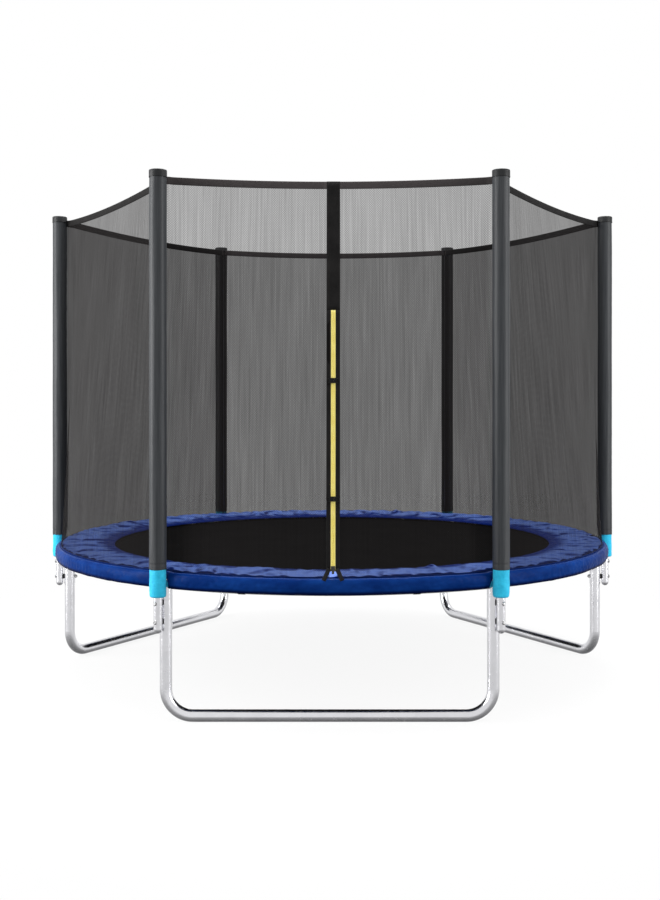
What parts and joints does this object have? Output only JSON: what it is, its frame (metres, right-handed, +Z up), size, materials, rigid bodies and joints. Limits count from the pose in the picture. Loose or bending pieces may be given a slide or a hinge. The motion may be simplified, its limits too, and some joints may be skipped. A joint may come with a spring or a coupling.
{
  "type": "trampoline",
  "caption": "Round backyard trampoline on U-shaped legs, with padded poles, a tall mesh safety net, a zipped door and a spring-hung jumping mat.",
  "frame": {"origin": "on the floor at the centre of the jumping mat", "axes": "+Z up, the zipped door faces -Y, and two poles stand on the X axis"},
  "size_m": [2.5688, 2.4708, 2.022],
  "materials": {
    "galvanised_tube": "hot-dip galvanised tube, smooth and bright",
    "zinc_hardware": "zinc plated",
    "spring_steel": "zinc plated spring wire",
    "cyan_foam": "closed-cell foam tube, matt and slightly pitted",
    "grey_sleeve": "coated polyester sleeve with a soft sheen",
    "net_mesh": "fine knitted mesh, see-through",
    "black_plastic": "moulded, lightly textured",
    "buckle_plastic": "moulded, half gloss",
    "mat_fabric": "tightly woven polypropylene",
    "black_webbing": "woven webbing",
    "blue_pad": "glossy coated cover, puckered over foam",
    "yellow_zip": "woven tape with a nylon coil",
    "zip_metal": "black enamelled die casting"
  },
  "bodies": {
    "frame": {"top_rail_right": "galvanised_tube", "top_rail_back_right": "galvanised_tube", "top_rail_back_left": "galvanised_tube", "top_rail_left": "galvanised_tube", "top_rail_front_left": "galvanised_tube", "top_rail_front_right": "galvanised_tube", "leg_base_front": "galvanised_tube", "leg_base_right": "galvanised_tube", "leg_base_left": "galvanised_tube", "pole_lower_right": "galvanised_tube", "pole_lower_back_right": "galvanised_tube", "pole_lower_back_left": "galvanised_tube", "pole_lower_left": "galvanised_tube", "pole_lower_front_left": "galvanised_tube", "pole_lower_front_right": "galvanised_tube", "pole_upper_right": "galvanised_tube", "pole_upper_back_right": "galvanised_tube", "pole_upper_back_left": "galvanised_tube", "pole_upper_left": "galvanised_tube", "pole_upper_front_left": "galvanised_tube", "pole_upper_front_right": "galvanised_tube", "pole_foam_right": "cyan_foam", "pole_foam_back_right": "cyan_foam", "pole_foam_back_left": "cyan_foam", "pole_foam_left": "cyan_foam", "pole_foam_front_left": "cyan_foam", "pole_foam_front_right": "cyan_foam", "pole_sleeve_right": "grey_sleeve", "pole_sleeve_back_right": "grey_sleeve", "pole_sleeve_back_left": "grey_sleeve", "pole_sleeve_left": "grey_sleeve", "pole_sleeve_front_left": "grey_sleeve", "pole_sleeve_front_right": "grey_sleeve", "net_panel_1": "net_mesh", "net_panel_2": "net_mesh", "net_panel_3": "net_mesh", "net_panel_4": "net_mesh", "net_panel_5": "net_mesh", "net_panel_6": "net_mesh", "pole_caps": "black_plastic", "pole_bolts": "zinc_hardware", "pole_nuts": "zinc_hardware", "pole_spacers": "black_plastic", "springs": "spring_steel", "safety_pad": "blue_pad", "pad_skirt": "blue_pad", "pad_straps": "black_webbing", "net_bindings": "black_webbing", "net_ties": "black_webbing", "door_trim": "black_webbing", "zip_tape": "yellow_zip", "buckle_sockets": "buckle_plastic", "door_straps": "black_webbing"},
    "mat": {"jumping_mat": "mat_fabric", "mat_hem": "black_webbing", "mat_rings": "zinc_hardware"},
    "slider": {"zip_slider": "zip_metal"},
    "pull": {"zip_pull": "zip_metal"},
    "upper_plug": {"buckle_plug_upper": "buckle_plastic"},
    "lower_plug": {"buckle_plug_lower": "buckle_plastic"}
  },
  "joints": [
    {"name": "mat_bounce", "type": "slide", "parent": "frame", "child": "mat", "axis": [0, 0, 1], "range_m": [-0.28, 0], "stiffness_N_per_m": 4000, "springref_m": 0.02, "deforming": ["springs"]},
    {"name": "zip_slide", "type": "slide", "parent": "frame", "child": "slider", "axis": [0, 0.1134, 0.9935], "range_m": [0, 0.918]},
    {"name": "pull_swing", "type": "hinge", "parent": "slider", "child": "pull", "pos_m": [0.014, -1.21346, 0.5909], "axis": [1, 0, 0], "range_deg": [-150, 0]},
    {"name": "upper_plug_release", "type": "slide", "parent": "frame", "child": "upper_plug", "axis": [1, 0, 0], "range_m": [0, 0.022]},
    {"name": "lower_plug_release", "type": "slide", "parent": "frame", "child": "lower_plug", "axis": [1, 0, 0], "range_m": [0, 0.022]}
  ]
}
